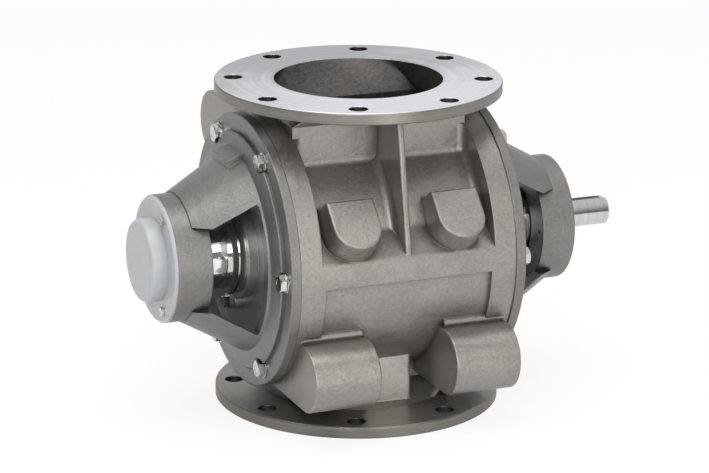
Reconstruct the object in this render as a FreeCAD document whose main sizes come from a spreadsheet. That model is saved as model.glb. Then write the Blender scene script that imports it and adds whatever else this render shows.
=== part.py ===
import FreeCAD, Part
import math
import os
import re
import Sketcher

# Rotary airlock valve, DN200 flanges, rotor axis along X, product falls along -Z.
# The origin is the centre of the outlet flange's lower face.
# Every turned or cast piece is drawn about the rotor axis and then lifted to axis_height.

SIZES = {
    # Flanges and ports
    "axis_height": 195,
    "flange_radius": 170,
    "flange_thickness": 14,
    "flange_edge": 1.2,
    "flange_bolt_circle": 147.5,
    "inlet_bolt_hole": 11.25,
    "outlet_bolt_hole": 11,
    "port_radius": 100,
    # Housing; boss_outer counts inward from the joint with a cover, rib_low_reach from the band
    "housing_half": 135,
    "band_radius": 160,
    "band_width": 27,
    "barrel_radius": 130,
    "bore_radius": 117,
    "neck_half_width": 65,
    "neck_half_length": 109,
    "neck_straight": 30,
    "web_half_length": 30,
    "web_reach": 97,
    "web_top": 100,
    "flare_radius": 110,
    "throat_half_width": 54,
    "throat_half_length": 98,
    "belt_top_angle": 7,
    "belt_slope_angle": 20,
    "belt_low_angle": 68,
    "panel_depth": 5,
    "panel_half_length": 104,
    "panel_top_angle": 3.3,
    "rib_thickness": 8,
    "rib_top_reach": 125,
    "rib_low_reach": 3,
    "rib_low_height": 20,
    "pad_angle": 45,
    "pad_plane": 156,
    "pad_spacing": 65,
    "pad_half_width": 29,
    "pad_top": 32,
    "pad_straight": 34.5,
    "pad_depth": 62,
    "pad_draft": 3,
    "boss_inner": 47,
    "boss_outer": 6,
    "boss_nose": 153,
    "boss_drop": 115.5,
    "boss_radius": 39,
    "boss_root": 40,
    "bead_radius": 6.5,
    "bead_reach": 137,
    "bead_drop": 73,
    "bead_inner": 52,
    "pad_edge": 2.5,
    "boss_inner_edge": 2.5,
    "boss_outer_edge": 2,
    "rib_edge": 2.5,
    "web_edge": 5,
    "wall_foot": 9,
    "belt_edge": 6,
    # End covers, lengths counted outward from the joint with the housing
    "cover_radius": 162,
    "rim_thickness": 12,
    "step_radius": 141,
    "step_height": 17,
    "base_height": 21,
    "cone_base_radius": 119,
    "cone_top_radius": 77,
    "cone_top": 95,
    "cone_wall_base": 13,
    "cone_hollow_top": 73,
    "bearing_house_start": 75,
    "bearing_house_end": 117,
    "bearing_house_radius": 75.5,
    "window_base": 24,
    "window_base_half": 80,
    "window_top_half": 51,
    "window_corner": 2.5,
    "spigot_depth": 8,
    "spigot_clearance": 0.05,
    "lug_near": 10,
    "lug_far": 39,
    "lug_near_top": 127,
    "lug_far_top": 117,
    "lug_half_width": 24,
    "lug_root": 90,
    "seal_box_radius": 56,
    "seal_box_end": 24,
    "seal_box_bore": 50,
    "seal_box_floor": 6,
    "throat_bush_bore": 43.3,
    "cover_bolt_circle": 144,
    "cover_seal_circle": 122.5,
    "cover_seal_section": 1.5,
    "cover_seal_room": 0.1,
    # Bolts and screws, names give the shank radius and half the width over the flats
    "cover_bolt_shank": 6,
    "cover_bolt_head": 9.5,
    "cover_bolt_head_height": 7.5,
    "cover_bolt_washer": 12,
    "cover_bolt_washer_height": 2.4,
    "spot_face_room": 0.5,
    "cover_bolt_grip": 22,
    "screw_room": 0.3,
    "cap_screw_circle": 63,
    "cap_screw_shank": 3,
    "cap_screw_head": 5,
    "cap_screw_head_height": 4,
    "cap_screw_grip": 14,
    "gland_screw_circle": 62,
    "gland_screw_shank": 4,
    "gland_screw_head": 6.5,
    "gland_screw_head_height": 5.3,
    "gland_screw_grip": 12,
    # Rotor
    "rotor_clearance": 0.35,
    "hub_radius": 45,
    "vane_thickness": 6,
    "vane_land": 3,
    "vane_bevel": 4,
    "shaft_radius": 30,
    "bearing_seat_radius": 22.5,
    "bearing_seat_start": 82,
    "free_shaft_end": 114,
    "drive_end_radius": 17.5,
    "drive_end_length": 76,
    "shaft_chamfer": 1.5,
    "key_width": 10,
    "key_seat_depth": 5,
    "key_length": 58,
    # Shaft seals
    "sleeve_radius": 43,
    "free_sleeve_end": 69,
    "drive_sleeve_end": 56,
    "set_screw_radius": 3,
    "set_screw_place": 47,
    "packing_count": 3,
    "packing_length": 5,
    "packing_room": 0.1,
    "gland_gap": 1,
    "gland_collar_radius": 51,
    "gland_collar_length": 17,
    "gland_groove_width": 2,
    "gland_groove_depth": 3,
    "gland_ear_radius": 9,
    "gland_ear_thickness": 6,
    "running_clearance": 0.3,
    # Bearings, deep groove 45 x 85 x 19
    "bearing_bore": 22.5,
    "bearing_outer": 42.5,
    "bearing_width": 19,
    "ball_radius": 6.35,
    "ball_circle": 32.5,
    "ball_count": 9,
    "ball_clearance": 0.1,
    "inner_race_shoulder": 29,
    "outer_race_shoulder": 36,
    "cage_inner": 30.4,
    "cage_outer": 34.6,
    "cage_width": 15.5,
    "seat_clearance": 0.02,
    "circlip_thickness": 3,
    "circlip_bite": 2.5,
    "circlip_inner": 37.5,
    "circlip_gap_angle": 30,
    "nut_radius": 40,
    "nut_length": 8,
    "nut_slots": 6,
    "nut_slot_width": 8,
    "nut_slot_depth": 4,
    "nut_gap": 1,
    "free_nut_radius": 31,
    "free_nut_length": 9,
    # Closing parts of the bearing housings
    "cap_flange_radius": 74,
    "cap_flange_thickness": 4,
    "cap_dome_radius": 49,
    "cap_dome_height": 24,
    "cap_wall": 3,
    "cap_edge": 6,
    "cap_rim_edge": 1.5,
    "cap_spigot_end": 104,
    "closer_thickness": 6,
    "lip_seal_radius": 31,
}

UP = FreeCAD.Vector(0, 0, 1)
AXIS = FreeCAD.Vector(1, 0, 0)
ORIGIN = FreeCAD.Vector(0, 0, 0)
SIDES = {"drive": 1, "free": -1}
SLEEVE_TURN = {"drive": 90, "free": -82}
VANES = 8
VANE_TURN = 22.5
CAP_SCREW_TURN = 60

doc = FreeCAD.newDocument("rotary_airlock_valve")


# Driving dimensions and the small tools that bind sketches to them

def fill_sheet():
    """Write every driving dimension to the sheet, one row each, with its alias."""
    sheet = doc.addObject("Spreadsheet::Sheet", "sizes")
    for row, (alias, value) in enumerate(SIZES.items(), start=1):
        sheet.set("A%d" % row, alias)
        sheet.set("B%d" % row, str(value))
        sheet.setAlias("B%d" % row, alias)
    doc.recompute()
    return sheet


def bound(text):
    """Turn the aliases named in a formula into references to the sheet."""
    return re.sub(r"[a-z_]{3,}", lambda word: sheet_name(word.group()), text)


def sheet_name(word):
    """Return the sheet reference of an alias, or the word itself."""
    return "sizes." + word if word in SIZES else word


def size(text):
    """Return the present value of a formula in the aliases."""
    result = sizes.evalExpression(bound(text))
    return float(getattr(result, "Value", result))


def new_body(name):
    """Start a sub-part; its label names its file."""
    body = doc.addObject("PartDesign::Body", name)
    body.Label = name
    return body


def origin_part(body, role):
    """Return one of the body's own origin planes or axes."""
    return next(part for part in body.Origin.OriginFeatures if part.Role == role)


def new_sketch(body, name, role, offset="0"):
    """Add a sketch on an origin plane, moved along the plane's normal."""
    sketch = body.newObject("Sketcher::SketchObject", name)
    sketch.AttachmentSupport = [(origin_part(body, role), "")]
    sketch.MapMode = "FlatFace"
    sketch.setExpression(".AttachmentOffset.Base.z", bound(offset))
    return sketch


def pin_point(sketch, geometry, end, x, y):
    """Fix one point of a sketch at two formulas, either of which may be None."""
    for kind, axis, formula in (("DistanceX", -2, x), ("DistanceY", -1, y)):
        if formula is None:
            continue
        if formula == "0":
            sketch.addConstraint(Sketcher.Constraint("PointOnObject", geometry, end, axis))
            continue
        index = sketch.addConstraint(Sketcher.Constraint(kind, -1, 1, geometry, end, size(formula)))
        sketch.setExpression("Constraints[%d]" % index, bound(formula))


def add_outline(sketch, corners, arcs=None):
    """Draw a closed outline through corners given as pairs of formulas.

    arcs maps the number of a corner to the formulas of the centre of the arc
    that leaves it counter-clockwise; one of the two may be None.
    """
    arcs = arcs or {}
    points = [FreeCAD.Vector(size(x), size(y), 0) for x, y in corners]
    first = sketch.GeometryCount
    count = len(points)
    for number, start in enumerate(points):
        finish = points[(number + 1) % count]
        if number in arcs:
            centre = arc_centre(start, finish, arcs[number])
            angles = [math.atan2(p.y - centre.y, p.x - centre.x) for p in (start, finish)]
            if angles[1] < angles[0]:
                angles[1] += 2 * math.pi
            circle = Part.Circle(centre, UP, start.distanceToPoint(centre))
            sketch.addGeometry(Part.ArcOfCircle(circle, angles[0], angles[1]), False)
        else:
            sketch.addGeometry(Part.LineSegment(start, finish), False)
    for number in range(count):
        following = first + (number + 1) % count
        sketch.addConstraint(Sketcher.Constraint("Coincident", first + number, 2, following, 1))
    for number, (x, y) in enumerate(corners):
        pin_point(sketch, first + number, 1, x, y)
    for number, (x, y) in arcs.items():
        pin_point(sketch, first + number, 3, x, y)


def arc_centre(start, finish, given):
    """Return the centre on the chord's bisector that has the given coordinate."""
    middle = (start + finish) * 0.5
    chord = finish - start
    x, y = given
    if x is None:
        run = 0 if abs(chord.x) < 1e-9 else -(size(y) - middle.y) * chord.y / chord.x
        return FreeCAD.Vector(middle.x + run, size(y), 0)
    rise = 0 if abs(chord.y) < 1e-9 else -(size(x) - middle.x) * chord.x / chord.y
    return FreeCAD.Vector(size(x), middle.y + rise, 0)


def add_circle(sketch, x, y, radius):
    """Draw a circle whose centre and radius are formulas."""
    centre = FreeCAD.Vector(size(x), size(y), 0)
    index = sketch.addGeometry(Part.Circle(centre, UP, size(radius)), False)
    pin_point(sketch, index, 3, x, y)
    constraint = sketch.addConstraint(Sketcher.Constraint("Radius", index, size(radius)))
    sketch.setExpression("Constraints[%d]" % constraint, bound(radius))


def add_polygon(sketch, x, y, across, sides=6):
    """Draw a regular polygon about a centre, half its width over the flats given."""
    turn = 360.0 / sides
    corner = "(%s) / cos(%s)" % (across, turn / 2)
    places = [turn * number for number in range(sides)]
    add_outline(sketch, [("%s + %s * cos(%s)" % (x, corner, place),
                          "%s + %s * sin(%s)" % (y, corner, place)) for place in places])


def rectangle(left, low, right, high):
    """Return the four corners of an upright rectangle."""
    return [(left, low), (right, low), (right, high), (left, high)]


def pad(body, sketch, length, reverse=False, centred=False, draft=None):
    """Extrude a sketch along its normal."""
    feature = body.newObject("PartDesign::Pad", sketch.Name + "_pad")
    feature.Profile = sketch
    feature.setExpression("Length", bound(length))
    feature.Reversed = reverse
    feature.Midplane = centred
    if draft:
        feature.setExpression("TaperAngle", bound(draft))
    return feature


def pocket(body, sketch, length, reverse=False, centred=False):
    """Cut a sketch along its normal, away from it unless reversed."""
    feature = body.newObject("PartDesign::Pocket", sketch.Name + "_cut")
    feature.Profile = sketch
    feature.setExpression("Length", bound(length))
    feature.Reversed = reverse
    feature.Midplane = centred
    return feature


def revolve(body, sketch, kind="PartDesign::Revolution", axis="H_Axis", angle="360", centred=False):
    """Turn a sketch about one of its own axes, adding or cutting."""
    feature = body.newObject(kind, sketch.Name + "_turn")
    feature.Profile = sketch
    feature.ReferenceAxis = (sketch, [axis])
    feature.setExpression("Angle", bound(angle))
    feature.Midplane = centred
    return feature


def repeat(body, features, axis, count, name):
    """Repeat features round one of the body's axes."""
    pattern = body.newObject("PartDesign::PolarPattern", name)
    pattern.Originals = features
    pattern.Axis = (origin_part(body, axis), [""])
    pattern.Angle = 360
    pattern.setExpression("Occurrences", bound(str(count)))
    body.Tip = pattern
    return pattern


def round_edges(body, name, radius, test, kind="PartDesign::Fillet", part="Radius"):
    """Round or bevel the edges of the present tip that pass a test."""
    doc.recompute()
    base = body.Tip
    chosen = ["Edge%d" % number for number, edge in enumerate(base.Shape.Edges, start=1) if test(edge)]
    if not chosen:
        raise ValueError("no edges found for " + name)
    feature = body.newObject(kind, name)
    feature.Base = (base, chosen)
    if kind == "PartDesign::Chamfer":
        part = "Size"
    feature.setExpression(part, bound(radius))
    doc.recompute()
    return feature


def near(length, wanted):
    """Tell whether two lengths agree more closely than any clearance."""
    return abs(length - wanted) < 0.01


def points_of(edge):
    """Return an edge's start, middle and end."""
    middle = edge.valueAt((edge.FirstParameter + edge.LastParameter) / 2)
    return [edge.firstVertex().Point, middle, edge.lastVertex().Point]


def runs_along(edge, direction):
    """Tell whether an edge is a straight line in a direction."""
    start, _, end = points_of(edge)
    return near(abs((end - start).dot(direction)), edge.Length)


def is_circle(edge, radius, centre=None):
    """Tell whether an edge lies on a circle of a radius, about a centre if one is given."""
    if not isinstance(edge.Curve, Part.Circle) or not near(edge.Curve.Radius, radius):
        return False
    return centre is None or near(edge.Curve.Center.distanceToPoint(FreeCAD.Vector(*centre)), 0)


def place(body, side=1, x="0", turn=0):
    """Lift a sub-part to the rotor axis, facing outward on its side of the valve."""
    facing = 0 if side > 0 else 180
    rotation = FreeCAD.Rotation(UP, facing).multiply(FreeCAD.Rotation(FreeCAD.Vector(1, 0, 0), turn))
    body.Placement = FreeCAD.Placement(ORIGIN, rotation)
    body.setExpression(".Placement.Base.x", bound("%d * (%s)" % (side, x)))
    body.setExpression(".Placement.Base.z", bound("axis_height"))


def turned(name, side, corners, arcs=None, x="housing_half"):
    """Make a ring or bush from its half section, given as pairs of length and radius."""
    body = new_body(name)
    sketch = new_sketch(body, name + "_section", "XZ_Plane")
    add_outline(sketch, corners, arcs)
    revolve(body, sketch)
    place(body, side, x)
    return body


# Housing

def tilted_sketch(body, name, angle, distance="0"):
    """Add a sketch whose Y runs up a slope, at a distance in front of the rotor axis."""
    sketch = new_sketch(body, name, "XZ_Plane")
    tilt = FreeCAD.Rotation(FreeCAD.Vector(1, 0, 0), -size(angle))
    sketch.AttachmentOffset = FreeCAD.Placement(ORIGIN, tilt)
    sketch.setExpression(".AttachmentOffset.Rotation.Angle", bound("0 - (%s)" % angle))
    sketch.setExpression(".AttachmentOffset.Base.y", bound("(%s) * sin(%s)" % (distance, angle)))
    sketch.setExpression(".AttachmentOffset.Base.z", bound("(%s) * cos(%s)" % (distance, angle)))
    return sketch


def on_front(radius, angle):
    """Return the point at a radius and at an angle above the front of the rotor axis."""
    return ("0 - (%s) * cos(%s)" % (radius, angle), "(%s) * sin(%s)" % (radius, angle))


def make_belt(body, half_length):
    """Thick belt across the front, its top sloping back to the drum, and its sunk panel."""
    belt = new_sketch(body, "belt", "YZ_Plane")
    add_outline(belt, [
        on_front("band_radius", "belt_top_angle"), on_front("band_radius", "0 - belt_low_angle"),
        on_front("bore_radius", "0 - belt_low_angle"), on_front("bore_radius", "belt_slope_angle"),
        on_front("barrel_radius", "belt_slope_angle"),
    ], {0: ("0", None)})
    features = [pad(body, belt, "2 * (%s)" % half_length, centred=True)]

    panel = new_sketch(body, "panel", "YZ_Plane")
    floor = "band_radius - panel_depth"
    outside = "band_radius + 3 * panel_depth"
    add_outline(panel, [
        on_front(floor, "0 - panel_top_angle"), on_front(floor, "0 - belt_low_angle"),
        on_front(outside, "0 - belt_low_angle"), on_front(outside, "0 - belt_low_angle / 2"),
        on_front(outside, "0 - panel_top_angle"),
    ], {0: ("0", None)})
    features.append(pocket(body, panel, "2 * panel_half_length", centred=True))
    return features


def make_housing():
    """Cast housing: drum with end bands, flanged necks, belt, ribs, pads and bosses."""
    body = new_body("housing")
    inner_band = "housing_half - band_width"

    drum = new_sketch(body, "drum", "XZ_Plane")
    add_outline(drum, [
        ("0 - housing_half", "0"), ("housing_half", "0"),
        ("housing_half", "band_radius"), (inner_band, "band_radius"),
        (inner_band, "barrel_radius"), ("0 - (%s)" % inner_band, "barrel_radius"),
        ("0 - (%s)" % inner_band, "band_radius"), ("0 - housing_half", "band_radius"),
    ])
    revolve(body, drum)

    features = make_belt(body, inner_band)
    features += make_neck(body)
    features.append(make_rib(body))
    features.append(make_web(body))
    for side in (-1, 1):
        features += make_pad_and_boss(body, side)
    repeat(body, features, "X_Axis", 2, "lower_half")
    bevel_flanges(body)
    round_casting(body)
    cut_housing(body)
    place(body)
    return body


def make_neck(body):
    """Rectangular neck above the drum, its flare to a round top, and the flange."""
    corners = rectangle("0 - neck_half_length", "0 - neck_half_width", "neck_half_length", "neck_half_width")
    neck_top = "(barrel_radius + neck_straight)"
    neck = new_sketch(body, "neck", "XY_Plane", "barrel_radius / 2")
    add_outline(neck, corners)
    features = [pad(body, neck, "%s - barrel_radius / 2" % neck_top)]

    low = new_sketch(body, "flare_low", "XY_Plane", neck_top)
    add_outline(low, corners)
    high = new_sketch(body, "flare_high", "XY_Plane", "axis_height - flange_thickness + 1")
    add_round_port(high, "flare_radius")
    flare = body.newObject("PartDesign::AdditiveLoft", "flare")
    flare.Profile = low
    flare.Sections = [high]
    features.append(flare)

    flange = new_sketch(body, "flange", "XY_Plane", "axis_height - flange_thickness")
    add_circle(flange, "0", "0", "flange_radius")
    features.append(pad(body, flange, "flange_thickness"))
    return features


def add_round_port(sketch, radius):
    """Draw a circle as four arcs whose ends face the corners of the throat."""
    corner = "(%s) * cos(45)" % radius
    add_outline(sketch, rectangle("0 - " + corner, "0 - " + corner, corner, corner),
                {0: (None, "0"), 1: ("0", None), 2: (None, "0"), 3: ("0", None)})


def make_rib(body):
    """Upright rib at mid-length from the flange down to the belt."""
    rib = new_sketch(body, "rib", "YZ_Plane")
    flange_low = "axis_height - flange_thickness"
    add_outline(rib, [
        ("rib_low_reach - band_radius", "rib_low_height"), ("0 - throat_half_width", "0"),
        ("0 - throat_half_width", flange_low), ("0 - rib_top_reach", flange_low),
    ])
    return pad(body, rib, "rib_thickness", centred=True)


def make_web(body):
    """Thick wall between the bosses, from the belt down to the lower flange."""
    web = new_sketch(body, "web", "YZ_Plane")
    flange_back = "flange_thickness - axis_height"
    add_outline(web, [
        ("0 - web_reach", "0 - web_top"), ("0 - web_reach", flange_back),
        ("0 - throat_half_width", flange_back), ("0 - throat_half_width", "0 - web_top"),
    ])
    return pad(body, web, "2 * web_half_length", centred=True)


def make_pad_and_boss(body, side):
    """One sloping pad above the belt and one round-nosed boss below it."""
    name = "right" if side > 0 else "left"
    face = tilted_sketch(body, "pad_" + name, "pad_angle", "pad_plane")
    middle = "%d * pad_spacing" % side
    low = "0 - pad_top - pad_straight"
    add_outline(face, [
        (middle + " - pad_half_width", low), (middle + " + pad_half_width", low),
        (middle + " + pad_half_width", "0 - pad_top"), (middle + " - pad_half_width", "0 - pad_top"),
    ], {0: (None, low)})
    sloping = pad(body, face, "pad_depth", reverse=True, draft="pad_draft")

    nose = new_sketch(body, "boss_" + name, "YZ_Plane", "%d * boss_inner" % side)
    high = "boss_radius - boss_drop"
    low = "0 - boss_radius - boss_drop"
    add_outline(nose, [
        ("0 - boss_nose", high), ("0 - boss_nose", low), ("0 - boss_root", low), ("0 - boss_root", high),
    ], {0: ("0 - boss_nose", None)})
    boss = pad(body, nose, "housing_half - boss_outer - boss_inner", reverse=side < 0)

    bead = new_sketch(body, "bead_" + name, "YZ_Plane", "%d * bead_inner" % side)
    add_circle(bead, "0 - bead_reach", "0 - bead_drop", "bead_radius")
    ridge = pad(body, bead, "housing_half - boss_outer - bead_inner", reverse=side < 0)
    return [sloping, boss, ridge]


def cut_housing(body):
    """Rotor bore, both throats, flange holes and the tapped holes for the covers."""
    bore = new_sketch(body, "bore", "YZ_Plane")
    add_circle(bore, "0", "0", "bore_radius")
    pocket(body, bore, "2 * housing_half + 2", centred=True)

    neck_top = "(barrel_radius + neck_straight)"
    corners = rectangle("0 - throat_half_length", "0 - throat_half_width",
                        "throat_half_length", "throat_half_width")
    throat = new_sketch(body, "throat", "XY_Plane", neck_top)
    add_outline(throat, corners)
    straight = pocket(body, throat, neck_top)
    low = new_sketch(body, "funnel_low", "XY_Plane", neck_top)
    add_outline(low, corners)
    high = new_sketch(body, "funnel_high", "XY_Plane", "axis_height")
    add_round_port(high, "port_radius")
    funnel = body.newObject("PartDesign::SubtractiveLoft", "funnel")
    funnel.Profile = low
    funnel.Sections = [high]

    repeat(body, [straight, funnel], "X_Axis", 2, "outlet_cuts")
    drill_flange(body, "inlet", "axis_height")
    drill_flange(body, "outlet", "flange_thickness - axis_height")

    taps = new_sketch(body, "cover_taps", "YZ_Plane", "housing_half")
    add_bolt_circle(taps, "cover_bolt_circle", "cover_bolt_shank")
    depth = "cover_bolt_grip + 3"
    tapped = pocket(body, taps, depth)
    mirror = body.newObject("PartDesign::Mirrored", "free_end_taps")
    mirror.Originals = [tapped]
    mirror.MirrorPlane = (origin_part(body, "YZ_Plane"), [""])
    body.Tip = mirror


def drill_flange(body, port, face):
    """Eight bolt holes through one flange, down from its upper face."""
    holes = new_sketch(body, port + "_bolt_holes", "XY_Plane", face)
    add_bolt_circle(holes, "flange_bolt_circle", port + "_bolt_hole", 8, 22.5)
    pocket(body, holes, "flange_thickness + 1")


def add_bolt_circle(sketch, circle, radius, count=6, start=0, shape=add_circle):
    """Draw the same shape at even steps round a circle."""
    for number in range(count):
        angle = start + 360.0 / count * number
        shape(sketch, "(%s) * cos(%s)" % (circle, angle), "(%s) * sin(%s)" % (circle, angle), radius)


def bevel_flanges(body):
    """Break the edges of the flanges."""
    rims = [size("axis_height"), size("axis_height - flange_thickness")]

    def is_rim(edge):
        return any(is_circle(edge, size("flange_radius"), (0, 0, sign * z)) for z in rims for sign in (1, -1))

    round_edges(body, "flange_edges", "flange_edge", is_rim, "PartDesign::Chamfer")


def round_casting(body):
    """Round the cast edges, and the feet of the walls that stand on the drum."""
    inner_band = size("housing_half - band_width")
    drum = size("barrel_radius")
    rib_side = size("rib_thickness / 2")
    neck_side = size("neck_half_width")
    lip_height = size("band_radius * sin(belt_top_angle)")
    pad_normal = FreeCAD.Vector(0, -size("cos(pad_angle)"), size("sin(pad_angle)"))

    def is_pad_edge(edge):
        return all(near(abs(point.dot(pad_normal)), size("pad_plane")) for point in points_of(edge))

    def is_nose(edge, end):
        return is_circle(edge, size("boss_radius")) and near(abs(edge.Curve.Center.x), size(end))

    def is_rib_edge(edge):
        on_side = all(near(abs(point.x), rib_side) for point in points_of(edge))
        return on_side and edge.Length > size("axis_height / 2") \
            and all(abs(point.y) > size("rib_top_reach") - 1 for point in points_of(edge))

    def is_web_edge(edge):
        middle = points_of(edge)[1]
        return near(abs(middle.x), size("web_half_length")) and near(abs(middle.y), size("web_reach")) \
            and runs_along(edge, UP)

    def is_foot(edge):
        points = points_of(edge)
        if near(abs(points[1].y), neck_side) and near(abs(points[1].x), inner_band):
            return runs_along(edge, UP)
        if not near(math.hypot(points[1].y, points[1].z), drum):
            return False
        return runs_along(edge, AXIS) or all(near(abs(point.x), inner_band) for point in points) \
            or all(near(abs(point.x), rib_side) for point in points)

    def is_lip(edge):
        middle = points_of(edge)[1]
        on_band = near(math.hypot(middle.y, middle.z), size("band_radius"))
        return on_band and near(abs(middle.z), lip_height) and runs_along(edge, AXIS)

    round_edges(body, "pad_edges", "pad_edge", is_pad_edge)
    round_edges(body, "boss_inner_edges", "boss_inner_edge", lambda edge: is_nose(edge, "boss_inner"))
    round_edges(body, "boss_outer_edges", "boss_outer_edge",
                lambda edge: is_nose(edge, "housing_half - boss_outer"))
    round_edges(body, "rib_edges", "rib_edge", is_rib_edge)
    round_edges(body, "web_edges", "web_edge", is_web_edge)
    round_edges(body, "wall_feet", "wall_foot", is_foot)
    round_edges(body, "belt_edges", "belt_edge", is_lip)


# End covers

def make_cover(side_name):
    """Cast end cover: bolted disc, open pedestal with two windows, bearing housing."""
    side = SIDES[side_name]
    body = new_body(side_name + "_end_cover")
    section = new_sketch(body, "cover_section", "XZ_Plane")
    spigot = "bore_radius - spigot_clearance"
    add_outline(section, [
        ("0 - spigot_depth", "throat_bush_bore"), ("seal_box_floor", "throat_bush_bore"),
        ("seal_box_floor", "seal_box_bore"), ("seal_box_end", "seal_box_bore"),
        ("seal_box_end", "seal_box_radius"), ("rim_thickness", "seal_box_radius"),
        ("rim_thickness", "cone_base_radius - cone_wall_base"),
        ("base_height", "cone_base_radius - cone_wall_base"),
        ("bearing_house_start", "cone_hollow_top"), ("cone_top", "cone_hollow_top"),
        ("cone_top", "cone_top_radius"), ("base_height", "cone_base_radius"),
        ("step_height", "step_radius - 1"), ("step_height - 1", "step_radius"),
        ("rim_thickness", "step_radius"), ("rim_thickness", "cover_radius - 1"),
        ("rim_thickness - 1", "cover_radius"), ("0", "cover_radius"),
        ("0", spigot), ("0 - spigot_depth", spigot),
    ])
    revolve(body, section)
    ears = new_sketch(body, "gland_ears", "YZ_Plane", "rim_thickness - 1")
    add_bolt_circle(ears, "gland_screw_circle", "gland_ear_radius", 2, 90)
    pad(body, ears, "seal_box_end - rim_thickness + 1")
    make_lug(body)
    cut_cover(body, side_name == "drive")
    place(body, side, "housing_half")
    return body


def make_lug(body):
    """Square casting lug on the upper arm, its face sloping outward."""
    lug = new_sketch(body, "lug", "XZ_Plane")
    add_outline(lug, [
        ("lug_near", "lug_root"), ("lug_far", "lug_root"),
        ("lug_far", "lug_far_top"), ("lug_near", "lug_near_top"),
    ])
    pad(body, lug, "2 * lug_half_width", centred=True)


def cut_cover(body, clipped):
    """Windows, bearing housing, bolt holes, seal groove, gland taps and circlip grooves."""
    window = new_sketch(body, "window", "XZ_Plane")
    add_outline(window, [
        ("window_base", "0 - window_base_half"), ("bearing_house_start", "0 - window_top_half"),
        ("cone_top + 1", "0 - window_top_half"), ("cone_top + 1", "window_top_half"),
        ("bearing_house_start", "window_top_half"), ("window_base", "window_base_half"),
    ])
    pocket(body, window, "2 * cone_base_radius + 10", centred=True)
    body.Tip = body.Group[-1]
    across = FreeCAD.Vector(0, 1, 0)
    round_edges(body, "window_corners", "window_corner", lambda edge: runs_along(edge, across)
                and near(points_of(edge)[1].x, size("window_base")))
    house = new_sketch(body, "bearing_house", "XZ_Plane")
    add_outline(house, rectangle("bearing_house_start", "bearing_outer",
                                 "bearing_house_end", "bearing_house_radius"))
    revolve(body, house)

    groove = new_sketch(body, "seal_groove", "XZ_Plane")
    add_outline(groove, rectangle(
        "0", "cover_seal_circle - cover_seal_section - cover_seal_room",
        "2 * cover_seal_section + cover_seal_room",
        "cover_seal_circle + cover_seal_section + cover_seal_room"))
    revolve(body, groove, "PartDesign::Groove")

    if clipped:
        clip = new_sketch(body, "circlip_groove", "XZ_Plane")
        for start in (circlip_place("inner"), circlip_place("outer"), circlip_place("closer")):
            add_outline(clip, rectangle(start, "bearing_outer - 1", start + " + circlip_thickness",
                                        "bearing_outer + circlip_bite"))
        revolve(body, clip, "PartDesign::Groove")

    holes = new_sketch(body, "cover_holes", "YZ_Plane", "rim_thickness")
    add_bolt_circle(holes, "cover_bolt_circle", "cover_bolt_shank + screw_room")
    pocket(body, holes, "rim_thickness + 1")
    seats = new_sketch(body, "bolt_seats", "YZ_Plane", "rim_thickness")
    add_bolt_circle(seats, "cover_bolt_circle", "cover_bolt_washer + spot_face_room")
    pocket(body, seats, "base_height - rim_thickness + 1", reverse=True)

    gland = new_sketch(body, "gland_taps", "YZ_Plane", "seal_box_end")
    add_bolt_circle(gland, "gland_screw_circle", "gland_screw_shank", 2, 90)
    pocket(body, gland, "gland_screw_grip + 3")

    screws = new_sketch(body, "cap_taps", "YZ_Plane", "bearing_house_end")
    add_bolt_circle(screws, "cap_screw_circle", "cap_screw_shank", 3, CAP_SCREW_TURN)
    pocket(body, screws, "bearing_house_end - bearing_house_start + 1")


def circlip_place(which):
    """Return where a circlip starts, counted from the joint."""
    if which == "inner":
        return "bearing_seat_start - circlip_thickness"
    if which == "outer":
        return "bearing_seat_start + bearing_width"
    return "bearing_seat_start + bearing_width + circlip_thickness + closer_thickness"


def make_cover_bolts(side_name):
    """Six hexagon bolts with washers that hold one cover to the housing."""
    body = new_body(side_name + "_cover_bolts")
    make_hex_screws(body, "rim_thickness", "cover_bolt_circle", 6, 0, "cover_bolt")
    washers = new_sketch(body, "washers", "YZ_Plane", "rim_thickness")
    add_bolt_circle(washers, "cover_bolt_circle", "cover_bolt_washer")
    pad(body, washers, "cover_bolt_washer_height")
    place(body, SIDES[side_name], "housing_half")


def make_hex_screws(body, seat, circle, count, start, kind):
    """Shanks and hexagon heads on a circle; kind begins the aliases of their sizes."""
    washer = kind + "_washer_height" if kind + "_washer_height" in SIZES else "0"
    shanks = new_sketch(body, kind + "_shanks", "YZ_Plane", "%s - %s_grip" % (seat, kind))
    add_bolt_circle(shanks, circle, kind + "_shank", count, start)
    pad(body, shanks, "%s_grip + %s + %s_head_height / 2" % (kind, washer, kind))
    heads = new_sketch(body, kind + "_heads", "YZ_Plane", "%s + %s" % (seat, washer))
    add_bolt_circle(heads, circle, kind + "_head", count, start, add_polygon)
    pad(body, heads, kind + "_head_height")


def make_cover_seal(side_name):
    """O-ring in the cover's face groove."""
    body = new_body(side_name + "_cover_seal")
    section = new_sketch(body, "cord_section", "XZ_Plane")
    add_circle(section, "cover_seal_section", "cover_seal_circle", "cover_seal_section")
    revolve(body, section)
    place(body, SIDES[side_name], "housing_half")


# Shaft seals

def packing_start(number):
    """Return where a packing ring starts, counted from the joint."""
    return "seal_box_floor + packing_room + %d * (packing_length + packing_room)" % number


def make_packing(side_name):
    """Square packing rings in the seal box."""
    body = new_body(side_name + "_gland_packing")
    section = new_sketch(body, "packing_section", "XZ_Plane")
    for number in range(SIZES["packing_count"]):
        start = packing_start(number)
        add_outline(section, rectangle(start, "sleeve_radius + running_clearance",
                                       start + " + packing_length", "seal_box_bore - packing_room"))
    revolve(body, section)
    place(body, SIDES[side_name], "housing_half")


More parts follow.
